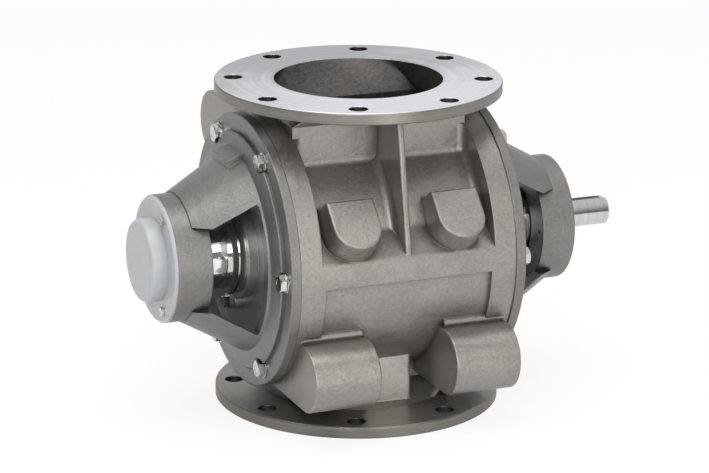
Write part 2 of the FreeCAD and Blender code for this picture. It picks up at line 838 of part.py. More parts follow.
def make_gland(side_name):
    """Gland that presses the packing: nose, grooved collar and a flange with two ears."""
    body = new_body(side_name + "_gland")
    section = new_sketch(body, "gland_section", "XZ_Plane")
    inner = "sleeve_radius + running_clearance"
    nose = "seal_box_bore - packing_room"
    plate = "seal_box_end + gland_gap"
    end = plate + " + gland_collar_length"
    waist = "gland_collar_radius - gland_groove_depth"
    groove = "(%s + %s) / 2" % (plate, end)
    add_outline(section, [
        (packing_start(SIZES["packing_count"]), inner),
        (end, inner), (end, "gland_collar_radius"),
        (groove + " + gland_groove_width / 2", "gland_collar_radius"),
        (groove + " + gland_groove_width / 2", waist),
        (groove + " - gland_groove_width / 2", waist),
        (groove + " - gland_groove_width / 2", "gland_collar_radius"),
        (plate, "gland_collar_radius"), (plate, nose), (packing_start(SIZES["packing_count"]), nose),
    ])
    revolve(body, section)
    ears = new_sketch(body, "ears", "YZ_Plane", plate)
    add_outline(ears, [
        ("gland_ear_radius", "0 - gland_screw_circle"), ("gland_ear_radius", "gland_screw_circle"),
        ("0 - gland_ear_radius", "gland_screw_circle"), ("0 - gland_ear_radius", "0 - gland_screw_circle"),
    ], {1: (None, "gland_screw_circle"), 3: (None, "0 - gland_screw_circle")})
    pad(body, ears, "gland_ear_thickness")
    holes = new_sketch(body, "ear_holes", "YZ_Plane", plate + " + gland_ear_thickness")
    add_bolt_circle(holes, "gland_screw_circle", "gland_screw_shank + screw_room", 2, 90)
    add_circle(holes, "0", "0", inner)
    pocket(body, holes, "gland_ear_thickness")
    place(body, SIDES[side_name], "housing_half")


def make_gland_screws(side_name):
    """Two hexagon screws that draw the gland towards the seal box."""
    body = new_body(side_name + "_gland_screws")
    seat = "seal_box_end + gland_gap + gland_ear_thickness"
    make_hex_screws(body, seat, "gland_screw_circle", 2, 90, "gland_screw")
    place(body, SIDES[side_name], "housing_half")


def make_sleeve(side_name):
    """Polished wear sleeve on the shaft, with a radial hole for its set screw."""
    body = new_body(side_name + "_shaft_sleeve")
    start = "0 - spigot_depth - rotor_clearance"
    end = side_name + "_sleeve_end"
    section = new_sketch(body, "sleeve_section", "XZ_Plane")
    add_outline(section, rectangle(start, "shaft_radius", end, "sleeve_radius"))
    revolve(body, section)
    hole = new_sketch(body, "set_screw_hole", "XY_Plane")
    add_circle(hole, "set_screw_place", "0", "set_screw_radius")
    pocket(body, hole, "sleeve_radius + 1", reverse=True)
    place(body, SIDES[side_name], "housing_half", SLEEVE_TURN[side_name])


def make_set_screw(side_name):
    """Socket set screw that locks the sleeve to the shaft."""
    body = new_body(side_name + "_sleeve_screw")
    shank = new_sketch(body, "screw_body", "XY_Plane", "shaft_radius")
    add_circle(shank, "set_screw_place", "0", "set_screw_radius - seat_clearance")
    pad(body, shank, "sleeve_radius - shaft_radius - 0.5")
    socket = new_sketch(body, "screw_socket", "XY_Plane", "sleeve_radius - 0.5")
    add_polygon(socket, "set_screw_place", "0", "set_screw_radius / 2")
    pocket(body, socket, "set_screw_radius")
    place(body, SIDES[side_name], "housing_half", SLEEVE_TURN[side_name])


# Bearings

def race_outline(bore, shoulder, outward):
    """Half section of a bearing ring with its ball groove."""
    left = "bearing_seat_start"
    right = "bearing_seat_start + bearing_width"
    middle = "bearing_seat_start + bearing_width / 2"
    reach = "sqrt((ball_radius + ball_clearance)^2 - (ball_circle - %s)^2)" % shoulder
    low = (middle + " - " + reach, shoulder)
    high = (middle + " + " + reach, shoulder)
    if outward:
        return [(left, bore), (left, shoulder), low, high, (right, shoulder), (right, bore)]
    return [(right, bore), (right, shoulder), high, low, (left, shoulder), (left, bore)]


def make_bearing(side_name):
    """Deep groove ball bearing: two rings, the balls and their cage."""
    side = SIDES[side_name]
    name = side_name + "_bearing_"
    groove = {2: (None, "ball_circle")}
    turned(name + "inner_ring", side, race_outline("bearing_bore", "inner_race_shoulder", True), groove)
    outer = "bearing_outer - seat_clearance"
    turned(name + "outer_ring", side, race_outline(outer, "outer_race_shoulder", False), groove)
    make_balls(name + "balls", side)
    make_cage(name + "cage", side)


def ball_sketch(body, name, radius):
    """Half disc on the ball circle whose flat side lies along the rotor axis."""
    sketch = new_sketch(body, name, "XZ_Plane")
    sketch.setExpression(".AttachmentOffset.Base.y", bound("ball_circle"))
    middle = "bearing_seat_start + bearing_width / 2"
    add_outline(sketch, [("%s + %s" % (middle, radius), "0"), ("%s - %s" % (middle, radius), "0")],
                {0: (None, "0")})
    return sketch


def make_balls(name, side):
    """Ring of separate balls."""
    body = new_body(name)
    half_disc = ball_sketch(body, "ball", "ball_radius")
    ball = revolve(body, half_disc)
    repeat(body, [ball], "X_Axis", "ball_count", "balls")
    place(body, side, "housing_half")


def make_cage(name, side):
    """Ring with one round pocket for each ball."""
    body = new_body(name)
    section = new_sketch(body, "cage_section", "XZ_Plane")
    start = "bearing_seat_start + (bearing_width - cage_width) / 2"
    add_outline(section, rectangle(start, "cage_inner", start + " + cage_width", "cage_outer"))
    revolve(body, section)
    half_disc = ball_sketch(body, "pocket", "(ball_radius + ball_clearance)")
    hollow = revolve(body, half_disc, "PartDesign::Groove")
    repeat(body, [hollow], "X_Axis", "ball_count", "pockets")
    place(body, side, "housing_half")


def make_circlip(name, start, thickness):
    """Open retaining ring in a groove of the drive end's bearing housing."""
    body = new_body(name)
    section = new_sketch(body, name + "_section", "XZ_Plane")
    add_outline(section, rectangle(start, "circlip_inner", "%s + %s" % (start, thickness),
                                   "bearing_outer + circlip_bite - packing_room"))
    revolve(body, section, angle="360 - circlip_gap_angle", centred=True)
    place(body, 1, "housing_half")


def make_slotted_collar(side_name):
    """Slotted collar on the shaft in front of the bearing."""
    body = new_body(side_name + "_slotted_collar")
    end = "bearing_seat_start - circlip_thickness - nut_gap"
    section = new_sketch(body, "collar_section", "XZ_Plane")
    add_outline(section, rectangle("%s - nut_length" % end, "shaft_radius", end, "nut_radius"))
    revolve(body, section)
    slots = new_sketch(body, "collar_slot", "YZ_Plane", end)
    add_outline(slots, rectangle("0 - nut_slot_width / 2", "nut_radius - nut_slot_depth",
                                 "nut_slot_width / 2", "nut_radius + 1"))
    slot = pocket(body, slots, "nut_length")
    repeat(body, [slot], "X_Axis", "nut_slots", "collar_slots")
    place(body, SIDES[side_name], "housing_half")


def make_end_nut():
    """Slotted nut that holds the free end's bearing on the shaft."""
    body = new_body("free_end_nut")
    start = "bearing_seat_start + bearing_width"
    section = new_sketch(body, "nut_section", "XZ_Plane")
    add_outline(section, rectangle(start, "bearing_bore", start + " + free_nut_length", "free_nut_radius"))
    revolve(body, section)
    slots = new_sketch(body, "nut_slot", "YZ_Plane", start + " + free_nut_length")
    add_outline(slots, rectangle("0 - nut_slot_width / 2", "free_nut_radius - nut_slot_depth",
                                 "nut_slot_width / 2", "free_nut_radius + 1"))
    slot = pocket(body, slots, "free_nut_length")
    repeat(body, [slot], "X_Axis", 4, "nut_slots_round")
    place(body, -1, "housing_half")


# Closing parts of the bearing housings

def make_bearing_cap():
    """Domed cap that closes the free end, with a spigot in the bearing bore."""
    flange_end = "bearing_house_end + cap_flange_thickness"
    dome_end = "bearing_house_end + cap_dome_height"
    spigot = "bearing_outer - packing_room"
    corners = [
        ("cap_spigot_end", spigot), ("cap_spigot_end", spigot + " - cap_wall"),
        (dome_end + " - cap_wall", spigot + " - cap_wall"), (dome_end + " - cap_wall", "0"),
        (dome_end, "0"), (dome_end, "cap_dome_radius - cap_edge"),
        (dome_end + " - cap_edge", "cap_dome_radius"), (flange_end, "cap_dome_radius"),
        (flange_end, "cap_flange_radius - cap_rim_edge"),
        (flange_end + " - cap_rim_edge", "cap_flange_radius"),
        ("bearing_house_end", "cap_flange_radius"), ("bearing_house_end", spigot),
    ]
    body = turned("free_bearing_cap", -1, corners, {5: (None, "cap_dome_radius - cap_edge")})
    holes = new_sketch(body, "cap_holes", "YZ_Plane", flange_end)
    add_bolt_circle(holes, "cap_screw_circle", "cap_screw_shank + screw_room", 3, CAP_SCREW_TURN)
    pocket(body, holes, "cap_flange_thickness")


def make_cap_screws():
    """Three small hexagon screws that hold the cap."""
    body = new_body("free_cap_screws")
    seat = "bearing_house_end + cap_flange_thickness"
    make_hex_screws(body, seat, "cap_screw_circle", 3, CAP_SCREW_TURN, "cap_screw")
    place(body, -1, "housing_half")


def make_closer():
    """Recessed closing ring of the drive end's bearing housing and its lip seal."""
    start = "bearing_seat_start + bearing_width + circlip_thickness"
    end = start + " + closer_thickness"
    turned("drive_bearing_closer", 1, rectangle(
        start, "lip_seal_radius", end, "bearing_outer - packing_room"))
    inner = "bearing_seat_radius + running_clearance"
    turned("drive_lip_seal", 1, rectangle(start, inner, end, "lip_seal_radius - seat_clearance"))


# Rotor

def make_shaft():
    """Rotor shaft: bearing seats at both ends and the drive end with its keyway."""
    seat = "housing_half + bearing_seat_start"
    drive_seat_end = "housing_half + bearing_house_end"
    free_end = "0 - housing_half - free_shaft_end"
    tip = drive_seat_end + " + drive_end_length"
    body = turned("rotor_shaft", 1, [
        (free_end, "0"), (tip, "0"),
        (tip, "drive_end_radius - shaft_chamfer"), (tip + " - shaft_chamfer", "drive_end_radius"),
        (drive_seat_end, "drive_end_radius"), (drive_seat_end, "bearing_seat_radius"),
        (seat, "bearing_seat_radius"), (seat, "shaft_radius"),
        ("0 - (%s)" % seat, "shaft_radius"), ("0 - (%s)" % seat, "bearing_seat_radius"),
        (free_end + " + shaft_chamfer", "bearing_seat_radius"),
        (free_end, "bearing_seat_radius - shaft_chamfer"),
    ], x="0")
    slot = new_sketch(body, "keyway", "XY_Plane", "drive_end_radius + 1")
    add_outline(slot, rectangle(tip + " - key_length", "0 - key_width / 2", tip + " + 1", "key_width / 2"))
    pocket(body, slot, "key_seat_depth + 1")


def make_hub():
    """Tube that the vanes are welded to."""
    half = "housing_half - spigot_depth - rotor_clearance"
    turned("rotor_hub", 1, rectangle("0 - (%s)" % half, "shaft_radius", half, "hub_radius"), x="0")


def make_vane(number):
    """Flat vane from the hub to the bore, its tip bevelled to a narrow land."""
    body = new_body("rotor_vane_%d" % number)
    tip = "sqrt((bore_radius - rotor_clearance)^2 - (vane_thickness / 2)^2)"
    side = "vane_thickness / 2"
    blade = new_sketch(body, "blade", "YZ_Plane")
    add_outline(blade, [
        ("0 - " + side, "hub_radius - 2"), (side, "hub_radius - 2"),
        (side, tip + " - vane_bevel"), ("vane_land - " + side, tip), ("0 - " + side, tip),
    ])
    pad(body, blade, "2 * (housing_half - spigot_depth - rotor_clearance)", centred=True)
    foot = new_sketch(body, "foot", "YZ_Plane")
    add_circle(foot, "0", "0", "hub_radius")
    pocket(body, foot, "2 * housing_half", centred=True)
    place(body, 1, "0", VANE_TURN + 360 / VANES * (number - 1))


def export_all():
    """Check every object, then write one file for each sub-part."""
    doc.recompute()
    bad = [item.Label for item in doc.Objects if {"Invalid", "Error"} & set(item.State)]
    if bad:
        raise ValueError("failed objects: " + ", ".join(bad))
    bodies = [item for item in doc.Objects if item.TypeId == "PartDesign::Body"]
    for body in bodies:
        if body.Shape.isNull() or not body.Shape.isValid():
            raise ValueError("bad shape: " + body.Label)
    os.makedirs("parts", exist_ok=True)
    for body in bodies:
        body.Shape.exportStep("parts/%s.step" % body.Label)
        print("%-24s solids %d volume %.0f" % (body.Label, len(body.Shape.Solids), body.Shape.Volume))


sizes = fill_sheet()
make_housing()
for side_name in SIDES:
    make_cover(side_name)
    make_cover_bolts(side_name)
    make_cover_seal(side_name)
    make_packing(side_name)
    make_gland(side_name)
    make_gland_screws(side_name)
    make_sleeve(side_name)
    make_set_screw(side_name)
    make_bearing(side_name)
    make_slotted_collar(side_name)
make_circlip("drive_inner_circlip", circlip_place("inner"), "circlip_thickness")
make_circlip("drive_outer_circlip", circlip_place("outer"), "circlip_thickness")
make_circlip("drive_closer_circlip", circlip_place("closer"), "circlip_thickness")
make_closer()
make_end_nut()
make_bearing_cap()
make_cap_screws()
make_shaft()
make_hub()
for vane in range(1, VANES + 1):
    make_vane(vane)
export_all()
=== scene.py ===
"""Looks of a cast stainless rotary airlock valve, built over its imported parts."""

import logging
import math
from dataclasses import dataclass
from enum import Enum
from typing import Iterable, Mapping, Optional, Sequence, Union

import bmesh
import bpy
from mathutils import Matrix, Vector


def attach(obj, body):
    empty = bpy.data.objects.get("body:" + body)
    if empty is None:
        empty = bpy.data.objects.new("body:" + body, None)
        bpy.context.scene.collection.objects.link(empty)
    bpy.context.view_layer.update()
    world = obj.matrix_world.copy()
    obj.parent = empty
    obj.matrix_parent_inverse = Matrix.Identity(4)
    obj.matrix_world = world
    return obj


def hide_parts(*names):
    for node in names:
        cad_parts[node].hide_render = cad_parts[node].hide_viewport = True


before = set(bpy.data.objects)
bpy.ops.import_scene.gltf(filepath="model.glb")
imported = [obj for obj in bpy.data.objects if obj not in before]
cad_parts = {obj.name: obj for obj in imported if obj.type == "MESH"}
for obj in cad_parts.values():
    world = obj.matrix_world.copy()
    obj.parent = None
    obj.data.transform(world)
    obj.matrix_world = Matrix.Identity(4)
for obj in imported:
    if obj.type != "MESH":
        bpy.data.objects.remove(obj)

log = logging.getLogger("airlock_valve")
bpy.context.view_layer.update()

# Lengths here and below are in metres
AXIS_HEIGHT = 0.195
WELD_DISTANCE = 1e-6
SHADER_RAYS = 6
# Occlusion range over which the castings' painted corner shade ramps in
CREVICE_RANGE = (0.08, 0.75)

Colour = tuple[float, float, float]
Number = Union["Field", float]


class Axis(Enum):
    """Direction that a turned face was spun about."""

    ROTOR = 0
    PORT = 2


class End(Enum):
    """End of the valve; the value is the sign of X there."""

    DRIVE = 1
    FREE = -1

    @property
    def prefix(self) -> str:
        """Return the first word of the names of this end's parts."""
        return self.name.lower()


# Shader building


@dataclass(frozen=True)
class Limit:
    """Where a region of a surface ends, and the length over which it fades."""

    at: float
    fade: float


class Field:
    """A number that varies over a surface; arithmetic on it adds Math nodes."""

    def __init__(self, graph: "Graph", socket: bpy.types.NodeSocket) -> None:
        """Wrap an output socket of a graph."""
        self.graph = graph
        self.socket = socket

    def __add__(self, other: Number) -> "Field":
        """Return the sum."""
        return self.graph.math("ADD", self, other)

    def __sub__(self, other: Number) -> "Field":
        """Return the difference."""
        return self.graph.math("SUBTRACT", self, other)

    def __rsub__(self, other: Number) -> "Field":
        """Return a number less this field."""
        return self.graph.math("SUBTRACT", other, self)

    def __mul__(self, other: Number) -> "Field":
        """Return the product."""
        return self.graph.math("MULTIPLY", self, other)

    def __truediv__(self, other: Number) -> "Field":
        """Return the quotient."""
        return self.graph.math("DIVIDE", self, other)

    __radd__ = __add__
    __rmul__ = __mul__

    def magnitude(self) -> "Field":
        """Return the size without its sign."""
        return self.graph.math("ABSOLUTE", self)

    def ramp(self, low: float, high: float) -> "Field":
        """Rise smoothly from 0 at one value to 1 at another.

        Args:
            low: value where the field starts to rise.
            high: value where it reaches 1.

        Returns:
            The risen field, between 0 and 1.
        """
        node = self.graph.node(
            "ShaderNodeMapRange", {"interpolation_type": "SMOOTHSTEP"},
            {"Value": self, "From Min": low, "From Max": high})
        return Field(self.graph, node.outputs[0])

    def above(self, limit: Limit) -> "Field":
        """Return 0 up to a limit, then rise to 1 over its fade."""
        return (self - limit.at).ramp(0.0, limit.fade)

    def below(self, limit: Limit) -> "Field":
        """Fall from 1 over a limit's fade, and return 0 past the limit."""
        return (limit.at - self).ramp(0.0, limit.fade)


@dataclass
class Look:
    """What a finish gives at each point: colour, roughness, metal share and relief in metres."""

    colour: bpy.types.NodeSocket
    roughness: Number
    metal: Number
    relief: Number


class Graph:
    """Node tree of one material or of the world."""

    def __init__(self, owner: Union[bpy.types.Material, bpy.types.World]) -> None:
        """Clear the owner's nodes and keep its tree.

        Args:
            owner: the material or world.
        """
        owner.use_nodes = True
        self.tree = owner.node_tree
        self.tree.nodes.clear()

    def node(self, kind: str, settings: Optional[Mapping[str, object]] = None,
             sockets: Optional[Mapping[Union[str, int], object]] = None) -> bpy.types.Node:
        """Add a node.

        Args:
            kind: the node's type name.
            settings: its properties, set first.
            sockets: values, fields or sockets for its inputs, by name or number.

        Returns:
            The new node.
        """
        made = self.tree.nodes.new(kind)
        for name, value in (settings or {}).items():
            setattr(made, name, value)
        for name, value in (sockets or {}).items():
            self._feed(made.inputs[name], value)
        return made

    def _feed(self, target: bpy.types.NodeSocket, value: object) -> None:
        """Link or set one input socket.

        Args:
            target: the input.
            value: a field or an output to link, or a plain value to set.
        """
        if isinstance(value, Field):
            value = value.socket
        if isinstance(value, bpy.types.NodeSocket):
            self.tree.links.new(value, target)
        elif isinstance(value, tuple) and len(value) == 3 and target.type == "RGBA":
            target.default_value = (*value, 1.0)
        else:
            target.default_value = value

    def math(self, operation: str, *values: Number) -> Field:
        """Add a Math node on values or fields and return its result."""
        made = self.node("ShaderNodeMath", {"operation": operation}, dict(enumerate(values)))
        return Field(self, made.outputs[0])

    def place(self) -> bpy.types.NodeSocket:
        """Return the point in the part's own space, which rides with its body."""
        return self.node("ShaderNodeTexCoord").outputs["Object"]

    def coordinates(self) -> tuple[Field, Field, Field]:
        """Find where the point lies from the rotor axis.

        Returns:
            Its X and Y, and its height above the rotor axis.
        """
        split = self.node("ShaderNodeSeparateXYZ", None, {0: self.place()})
        x, y, z = (Field(self, output) for output in split.outputs)
        return x, y, z - AXIS_HEIGHT

    def hypotenuse(self, first: Field, second: Field) -> Field:
        """Return the distance from the crossing of two axes."""
        return self.math("SQRT", first * first + second * second)

    def noise(self, size: float, detail: float = 2.0) -> Field:
        """Return cloudy noise between 0 and 1.

        Args:
            size: width of its features in metres.
            detail: how many finer layers it has.

        Returns:
            The noise field.
        """
        made = self.node("ShaderNodeTexNoise", {"noise_dimensions": "3D"},
                         {"Vector": self.place(), "Scale": 1.0 / size, "Detail": detail, "Roughness": 0.55})
        return Field(self, made.outputs[0])

    def crevice(self, reach: float) -> Field:
        """Measure how closed in the point is.

        Args:
            reach: distance within which other faces count.

        Returns:
            1 deep in a corner, 0 in the open.
        """
        made = self.node("ShaderNodeAmbientOcclusion", {"samples": SHADER_RAYS, "only_local": True},
                         {"Distance": reach})
        return (1 - Field(self, made.outputs["AO"])).ramp(*CREVICE_RANGE)

    def lines(self, along: Field, pitch: float, detail: float = 2.0) -> Field:
        """Return noise that varies along one field only, as tool marks do.

        Args:
            along: distance across the marks.
            pitch: width of a mark in metres.
            detail: how many finer layers it has.

        Returns:
            The noise field, between 0 and 1.
        """
        made = self.node("ShaderNodeTexNoise", {"noise_dimensions": "1D"},
                         {"W": along / pitch, "Scale": 1.0, "Detail": detail, "Roughness": 0.6})
        return Field(self, made.outputs[0])

    def mix(self, share: Number, first: object, second: object) -> bpy.types.NodeSocket:
        """Mix two colours; a share of 1 gives the second."""
        made = self.node("ShaderNodeMix", {"data_type": "RGBA"}, {0: share, 6: first, 7: second})
        return made.outputs[2]

    def blend(self, share: Field, first: Look, second: Look) -> Look:
        """Blend two looks.

        Args:
            share: how much of the second look shows at each point.
            first: the look where the share is 0.
            second: the look where the share is 1.

        Returns:
            The blended look.
        """
        rest = 1 - share
        return Look(
            self.mix(share, first.colour, second.colour),
            rest * first.roughness + share * second.roughness,
            rest * first.metal + share * second.metal,
            rest * first.relief + share * second.relief,
        )

    def finish(self, look: Look, rounding: float = 0.0, **fixed: float) -> None:
        """End the material in one shader.

        Args:
            look: what varies over the surface.
            rounding: radius in metres by which sharp edges are softened.
            fixed: other shader inputs that stay the same, with _ for each space.
        """
        bump = self.node("ShaderNodeBump", None, {"Height": look.relief, "Distance": 1.0, "Strength": 1.0})
        if rounding:
            softened = self.node("ShaderNodeBevel", {"samples": SHADER_RAYS}, {"Radius": rounding})
            self.tree.links.new(softened.outputs[0], bump.inputs["Normal"])
        inputs = {"Base Color": look.colour, "Roughness": look.roughness, "Metallic": look.metal,
                  "Normal": bump.outputs[0]}
        inputs.update({name.replace("_", " "): value for name, value in fixed.items()})
        shader = self.node("ShaderNodeBsdfPrincipled", None, inputs)
        self.node("ShaderNodeOutputMaterial", None, {"Surface": shader.outputs[0]})


# Finishes


def blotch(middle: float, *layers: tuple[Field, float]) -> Field:
    """Vary a value by several noises.

    Args:
        middle: the value where every noise is at its mean.
        layers: pairs of a noise between 0 and 1 and how far it moves the value.

    Returns:
        The varied value.
    """
    varied = middle
    for noise, share in layers:
        varied = varied + (noise - 0.5) * share
    return varied


@dataclass(frozen=True)
class CastFinish:
    """Bead blasted investment casting: fine even grain over faint swells and cloudy tone, with painted shade
    darkening its corners and recesses.
    """

    light: Colour
    dark: Colour
    roughness: float = 0.42
    metal: float = 0.8
    grain: float = 0.0011
    grain_depth: float = 0.00016
    grain_tone: float = 0.9
    pit: float = 3.2
    pit_depth: float = 1.6
    pit_tone: float = 0.6
    pit_roughness: float = 0.2
    cloud: float = 0.05
    cloud_tone: float = 0.45
    cloud_roughness: float = 0.08
    swell: float = 0.016
    swell_depth: float = 0.0005
    # Painted shade: corners within this reach are darkened towards a fraction of the dark tone, by up to a
    # share
    crevice_reach: float = 0.011
    painted_shade_share: float = 0.75
    painted_shade_tone: float = 0.2

    def look(self, graph: Graph) -> Look:
        """Lay out the casting's skin; pit sizes are counted in grains.

        Args:
            graph: the material's node tree.

        Returns:
            The casting's look.
        """
        grain = graph.noise(self.grain, 3.0)
        pits = graph.noise(self.grain * self.pit)
        clouds = graph.noise(self.cloud, 3.0)
        swell = graph.noise(self.swell, 1.0)
        tone = blotch(0.5, (grain, self.grain_tone), (pits, self.pit_tone), (clouds, self.cloud_tone))
        # Painted shade: occlusion darkens the colour in corners and recesses
        painted_shade = graph.crevice(self.crevice_reach) * self.painted_shade_share
        open_tone = graph.mix(tone.ramp(0.0, 1.0), self.dark, self.light)
        return Look(
            graph.mix(painted_shade, open_tone, tuple(value * self.painted_shade_tone for value in self.dark)),
            blotch(self.roughness, (pits, self.pit_roughness), (clouds, self.cloud_roughness)),
            self.metal,
            grain * self.grain_depth + pits * (self.grain_depth * self.pit_depth) + swell * self.swell_depth,
        )


@dataclass(frozen=True)
class TurnedFinish:
    """Face or bore cut on a lathe: fine rings about an axis, with a painted sheen that makes it lighter
    towards the front by a share.
    """

    light: Colour
    dark: Colour
    axis: Axis
    roughness: float = 0.24
    pitch: float = 0.0008
    depth: float = 0.000012
    mark_tone: float = 0.8
    band: float = 14.0
    band_tone: float = 0.5
    cloud: float = 0.06
    cloud_tone: float = 0.8
    unevenness: float = 0.12
    # Painted sheen: share by which the colour lightens towards the front
    painted_sheen: float = 0.0

    def look(self, graph: Graph) -> Look:
        """Lay out the tool marks; bands are counted in marks.

        Args:
            graph: the material's node tree.

        Returns:
            The turned surface's look.
        """
        x, y, z = graph.coordinates()
        if self.axis is Axis.PORT:
            travel = graph.hypotenuse(x, y) + z
        else:
            travel = graph.hypotenuse(y, z) + x
        marks = graph.lines(travel, self.pitch)
        bands = graph.lines(travel, self.pitch * self.band, 1.0)
        clouds = graph.noise(self.cloud)
        tone = blotch(0.5, (marks, self.mark_tone), (bands, self.band_tone), (clouds, self.cloud_tone))
        # Painted highlight: the side facing the front is lightened
        if self.painted_sheen:
            tone = tone - y / graph.hypotenuse(x, y) * self.painted_sheen
        return Look(
            graph.mix(tone.ramp(0.0, 1.0), self.dark, self.light),
            blotch(self.roughness, (marks, self.unevenness), (clouds, self.unevenness)),
            1.0,
            marks * self.depth + bands * self.depth,
        )


@dataclass(frozen=True)
class WroughtFinish:
    """Bar, sheet or screw steel: faint scratches and handling marks."""

    light: Colour
    dark: Colour
    roughness: float = 0.3
    metal: float = 1.0
    mark: float = 0.002
    mark_tone: float = 0.9
    mark_roughness: float = 0.2
    fine: float = 0.2
    fine_tone: float = 0.5
    depth: float = 0.00001

    def look(self, graph: Graph) -> Look:
        """Lay out the marks; the fine ones are a share of their size.

        Args:
            graph: the material's node tree.

        Returns:
            The steel's look.
        """
        marks = graph.noise(self.mark, 3.0)
        fine = graph.noise(self.mark * self.fine)
        tone = blotch(0.5, (marks, self.mark_tone), (fine, self.fine_tone))
        return Look(
            graph.mix(tone.ramp(0.0, 1.0), self.dark, self.light),
            blotch(self.roughness, (marks, self.mark_roughness)),
            self.metal,
            fine * self.depth + marks * self.depth,
        )


@dataclass(frozen=True)
class MouldedFinish:
    """Moulded plastic or rubber: soft tone, fine skin and a little unevenness."""

    light: Colour
    dark: Colour
    roughness: float = 0.4
    skin: float = 0.0009
    skin_depth: float = 0.00003
    skin_tone: float = 0.3
    cloud: float = 0.03
    cloud_tone: float = 1.2
    cloud_roughness: float = 0.15
    swell: float = 0.02
    swell_depth: float = 0.0003

    def look(self, graph: Graph) -> Look:
        """Lay out the moulded skin.

        Args:
            graph: the material's node tree.

        Returns:
            The moulding's look.
        """
        skin = graph.noise(self.skin)
        clouds = graph.noise(self.cloud)
        swell = graph.noise(self.swell, 1.0)
        tone = blotch(0.5, (skin, self.skin_tone), (clouds, self.cloud_tone))
        return Look(
            graph.mix(tone.ramp(0.0, 1.0), self.dark, self.light),
            blotch(self.roughness, (clouds, self.cloud_roughness)),
            0.0,
            skin * self.skin_depth + swell * self.swell_depth,
        )


@dataclass(frozen=True)
class BraidFinish:
    """Square braided packing: diagonal strands with gaps between them."""

    light: Colour
    dark: Colour
    strand: float = 0.0016
    strand_depth: float = 0.0003
    strand_tone: float = 0.8
    radius: float = 0.045
    fuzz: float = 0.0005
    fuzz_depth: float = 0.0001
    fuzz_tone: float = 0.4
    roughness: float = 0.85
    sheen: float = 0.15

    def look(self, graph: Graph) -> Look:
        """Lay the strands slantwise round the rotor axis.

        Args:
            graph: the material's node tree.

        Returns:
            The braid's look.
        """
        x, y, z = graph.coordinates()
        turn = graph.math("ARCTAN2", y, z) * self.radius
        rising = graph.math("SINE", (turn + x) * (math.pi / self.strand))
        falling = graph.math("SINE", (turn - x) * (math.pi / self.strand))
        weave = (rising * falling).magnitude()
        fuzz = graph.noise(self.fuzz)
        tone = weave * self.strand_tone + fuzz * self.fuzz_tone
        return Look(
            graph.mix(tone.ramp(0.1, 0.9), self.dark, self.light),
            self.roughness - weave * self.sheen,
            0.0,
            weave * self.strand_depth + fuzz * self.fuzz_depth,
        )


Finish = Union[CastFinish, TurnedFinish, WroughtFinish, MouldedFinish, BraidFinish]

# Body casting: a longer reach spreads the painted shade further into the neck and recesses
HOUSING_CAST = CastFinish((0.375, 0.350, 0.327), (0.212, 0.196, 0.181), roughness=0.38, crevice_reach=0.014)
# Painted light: paler copy of the body casting, with little corner shade, for the shaded walls between the
# bosses
WEB_PAINTED_LIGHT = CastFinish((0.60, 0.563, 0.533), (0.38, 0.355, 0.332), painted_shade_share=0.2)
COVER_CAST = CastFinish((0.272, 0.266, 0.253), (0.150, 0.146, 0.138), grain=0.0009)
# Painted light: paler copy of the cover casting, with less corner shade, for the inside of the cover's
# chamber
CHAMBER_PAINTED_LIGHT = CastFinish((0.50, 0.49, 0.475), (0.29, 0.285, 0.275), roughness=0.36, painted_shade_share=0.4)
# Painted shade: near-black copy of the body casting for the inside of the product passage
THROAT_PAINTED_SHADE = CastFinish((0.105, 0.098, 0.093), (0.032, 0.030, 0.028), roughness=0.5, grain=0.0022)
# Flange face: carries the painted sheen towards the front
FLANGE_FACE = TurnedFinish((0.82, 0.83, 0.88), (0.40, 0.415, 0.44), Axis.PORT, roughness=0.27,
                           depth=0.00003, painted_sheen=0.55)
FLANGE_RIM = TurnedFinish((0.30, 0.28, 0.255), (0.16, 0.15, 0.135), Axis.PORT, roughness=0.4,
                          pitch=0.0011, depth=0.00003)
HOLE_WALL = TurnedFinish((0.16, 0.155, 0.15), (0.07, 0.068, 0.065), Axis.PORT, roughness=0.34)
BORE_FACE = TurnedFinish((0.42, 0.41, 0.40), (0.24, 0.235, 0.23), Axis.ROTOR)
SEAT_FACE = TurnedFinish((0.55, 0.55, 0.55), (0.34, 0.34, 0.34), Axis.ROTOR)
SHAFT_GROUND = TurnedFinish((0.68, 0.675, 0.66), (0.46, 0.455, 0.44), Axis.ROTOR, roughness=0.14,
                            pitch=0.0005, depth=0.000004)
SLEEVE_POLISH = TurnedFinish((0.86, 0.86, 0.86), (0.74, 0.74, 0.74), Axis.ROTOR, roughness=0.06,
                             pitch=0.0004, depth=0.000001)
GLAND_POLISH = TurnedFinish((0.80, 0.79, 0.76), (0.62, 0.61, 0.58), Axis.ROTOR, roughness=0.12,
                            pitch=0.0005, depth=0.000003)
ROTOR_WORK = WroughtFinish((0.46, 0.45, 0.43), (0.28, 0.27, 0.26), roughness=0.34, mark=0.004)
WELD = WroughtFinish((0.40, 0.36, 0.31), (0.20, 0.175, 0.15), roughness=0.4, mark=0.0012)
FASTENER = WroughtFinish((0.70, 0.69, 0.66), (0.48, 0.47, 0.45), roughness=0.16)
CAGE_SHEET = WroughtFinish((0.50, 0.48, 0.44), (0.34, 0.32, 0.29), roughness=0.35)
SPRING_BLACK = WroughtFinish((0.030, 0.030, 0.032), (0.014, 0.014, 0.016), roughness=0.42, metal=0.4)
CAP_PLASTIC = MouldedFinish((0.435, 0.450, 0.462), (0.365, 0.380, 0.392), roughness=0.34)
SEAL_RUBBER = MouldedFinish((0.022, 0.022, 0.023), (0.012, 0.012, 0.013), roughness=0.55)
PACKING = BraidFinish((0.62, 0.56, 0.44), (0.22, 0.19, 0.14))


def material(name: str, finish: Finish, **fixed: float) -> bpy.types.Material:
    """Make a material of one finish.

    Args:
        name: the material's name.
        finish: the finish it has all over.
        fixed: shader inputs that stay the same, with _ for each space.

    Returns:
        The material.
    """
    made = bpy.data.materials.new(name)
    graph = Graph(made)
    graph.finish(finish.look(graph), **fixed)
    return made


